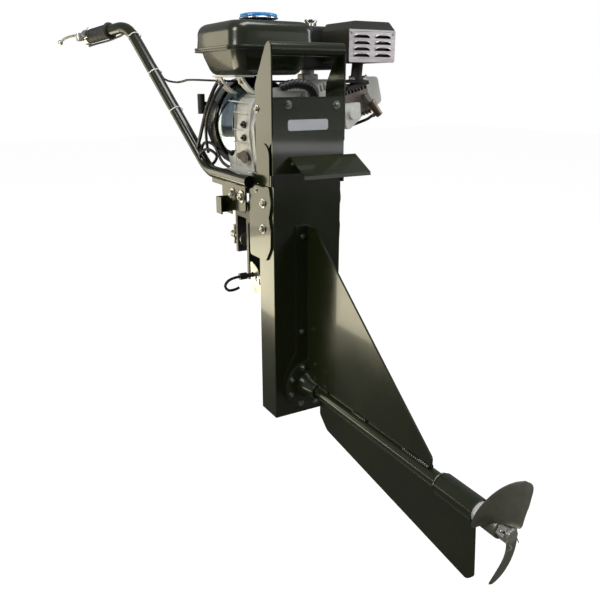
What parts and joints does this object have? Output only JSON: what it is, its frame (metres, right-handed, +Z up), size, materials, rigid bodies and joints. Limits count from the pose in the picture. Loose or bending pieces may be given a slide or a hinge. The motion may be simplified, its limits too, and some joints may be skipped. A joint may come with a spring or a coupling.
{
  "type": "outboard motor",
  "caption": "Petrol outboard motor: a finned air-cooled engine on a bed above a box leg, a long straight propeller shaft under a fin, a tiller and a transom clamp.",
  "frame": {"origin": "centre of the clamp's seat, the face that rests on top of the transom", "axes": "+Z up, +Y forward into the boat, +X to starboard; the propeller shaft points along -Y"},
  "size_m": [0.5787, 1.4054, 0.9256],
  "materials": {
    "green_paint": "gloss",
    "black_paint": "semi-gloss",
    "zinc_steel": "zinc plated",
    "cast_aluminium": "as cast",
    "stainless": "satin",
    "machined_steel": "machined",
    "rubber": "matte",
    "plastic": "moulded",
    "blue_enamel": "speckled enamel",
    "heat_steel": "heat tinted",
    "bronze": "machined",
    "red_plastic": "moulded"
  },
  "bodies": {
    "clamp": {"transom_clamp": "black_paint", "trim_rack_left": "zinc_steel", "trim_rack_right": "zinc_steel", "tilt_bolt": "zinc_steel"},
    "clamp_pad_left": {"clamp_pad_left": "zinc_steel"},
    "clamp_pad_right": {"clamp_pad_right": "zinc_steel"},
    "clamp_screw_left": {"clamp_screw_left": "zinc_steel"},
    "clamp_screw_right": {"clamp_screw_right": "zinc_steel"},
    "trim_pin": {"trim_pin": "black_paint"},
    "swivel": {"swivel_bracket": "black_paint"},
    "motor": {"leg_casing": "green_paint", "belt_cover": "green_paint", "splash_plate": "green_paint", "steering_bracket": "green_paint", "king_pin": "zinc_steel", "engine_bed": "green_paint", "trim_plate": "green_paint", "tiller_tube": "green_paint", "tiller_grip": "rubber", "lever_perch": "cast_aluminium", "throttle_cable": "rubber", "bearing_flange": "green_paint", "shaft_tube": "green_paint", "stern_bush": "bronze", "aft_bearing": "machined_steel", "forward_bearing": "machined_steel", "fin": "green_paint", "skeg": "green_paint", "drive_belt": "rubber", "crankcase": "cast_aluminium", "crankcase_cover": "cast_aluminium", "cylinder": "cast_aluminium", "cylinder_head": "cast_aluminium", "rocker_cover": "cast_aluminium", "spark_plug": "zinc_steel", "plug_cap": "rubber", "fan_housing": "black_paint", "recoil_housing": "black_paint", "fuel_tank": "green_paint", "muffler_guard": "heat_steel", "muffler": "black_paint", "carburettor": "cast_aluminium", "air_cleaner": "plastic"},
    "propeller": {"propeller_shaft": "stainless", "driven_pulley": "machined_steel", "propeller": "stainless", "thrust_collar": "stainless", "propeller_nut": "stainless", "cotter_pin": "zinc_steel"},
    "crank": {"crankshaft": "machined_steel", "flywheel": "cast_aluminium", "drive_pulley": "machined_steel"},
    "throttle_lever": {"throttle_lever": "stainless"},
    "starter_reel": {"starter_reel": "plastic"},
    "starter_grip": {"starter_grip": "plastic"},
    "fuel_cap": {"fuel_cap": "blue_enamel"},
    "choke_lever": {"choke_lever": "plastic"},
    "fuel_tap_lever": {"fuel_tap_lever": "plastic"},
    "throttle_arm": {"throttle_arm": "plastic"},
    "engine_switch": {"engine_switch": "red_plastic"}
  },
  "joints": [
    {"name": "tilt", "type": "hinge", "parent": "clamp", "child": "swivel", "pos_m": [0, -0.045, 0.03], "axis": [-1, 0, 0], "range_deg": [0, 30]},
    {"name": "steer", "type": "hinge", "parent": "swivel", "child": "motor", "pos_m": [0, -0.09, 0.005], "axis": [0, 0, 1], "range_deg": [-45, 45]},
    {"name": "crank_spin", "type": "hinge", "parent": "motor", "child": "crank", "pos_m": [0, -0.23, 0.211], "axis": [0, 1, 0], "continuous": true},
    {"name": "propeller_spin", "type": "hinge", "parent": "motor", "child": "propeller", "pos_m": [0, -0.23, -0.345], "axis": [0, 1, 0], "continuous": true},
    {"name": "throttle_lever_pull", "type": "hinge", "parent": "motor", "child": "throttle_lever", "pos_m": [-0.27348, 0.48491, 0.41324], "axis": [-0.04, 0.1079, 0.9934], "range_deg": [0, 35]},
    {"name": "throttle_arm_turn", "type": "hinge", "parent": "motor", "child": "throttle_arm", "pos_m": [0.1603, 0.005, 0.299], "axis": [-1, 0, 0], "range_deg": [0, 35]},
    {"name": "starter_pull", "type": "slide", "parent": "motor", "child": "starter_grip", "axis": [-1, 0, 0], "range_m": [0, 0.12], "stiffness_N_per_m": 30},
    {"name": "starter_reel_turn", "type": "hinge", "parent": "motor", "child": "starter_reel", "pos_m": [0, 0.087, 0.211], "axis": [0, -1, 0], "range_deg": [0, 170]},
    {"name": "fuel_cap_turn", "type": "hinge", "parent": "motor", "child": "fuel_cap", "pos_m": [-0.012, -0.04, 0.427], "axis": [0, 0, 1], "range_deg": [0, 90]},
    {"name": "choke_turn", "type": "hinge", "parent": "motor", "child": "choke_lever", "pos_m": [0.1603, 0.018, 0.307], "axis": [1, 0, 0], "range_deg": [0, 60]},
    {"name": "fuel_tap_turn", "type": "hinge", "parent": "motor", "child": "fuel_tap_lever", "pos_m": [0.1603, 0.003, 0.281], "axis": [1, 0, 0], "range_deg": [0, 90]},
    {"name": "engine_switch_turn", "type": "hinge", "parent": "motor", "child": "engine_switch", "pos_m": [-0.0612, 0.0696, 0.1498], "axis": [0, 1, 0], "range_deg": [0, 60]},
    {"name": "trim_pin_pull", "type": "slide", "parent": "clamp", "child": "trim_pin", "axis": [-1, 0, 0], "range_m": [0, 0.098]},
    {"name": "clamp_pad_left_slide", "type": "slide", "parent": "clamp", "child": "clamp_pad_left", "axis": [0, -1, 0], "range_m": [0, 0.02]},
    {"name": "clamp_screw_left_turn", "type": "hinge", "parent": "clamp_pad_left", "child": "clamp_screw_left", "pos_m": [-0.026, 0.025, -0.06], "axis": [0, -1, 0], "range_deg": [0, 3600]},
    {"name": "clamp_pad_right_slide", "type": "slide", "parent": "clamp", "child": "clamp_pad_right", "axis": [0, -1, 0], "range_m": [0, 0.02]},
    {"name": "clamp_screw_right_turn", "type": "hinge", "parent": "clamp_pad_right", "child": "clamp_screw_right", "pos_m": [0.026, 0.025, -0.06], "axis": [0, -1, 0], "range_deg": [0, 3600]}
  ],
  "couplings": [
    {"joint": "propeller_spin", "follows": "crank_spin", "ratio": 0.6875},
    {"joint": "throttle_arm_turn", "follows": "throttle_lever_pull", "ratio": 1},
    {"joint": "starter_reel_turn", "follows": "starter_pull", "rad_per_m": 24},
    {"joint": "clamp_screw_left_turn", "follows": "clamp_pad_left_slide", "rad_per_m": 3141.6},
    {"joint": "clamp_screw_right_turn", "follows": "clamp_pad_right_slide", "rad_per_m": 3141.6}
  ]
}
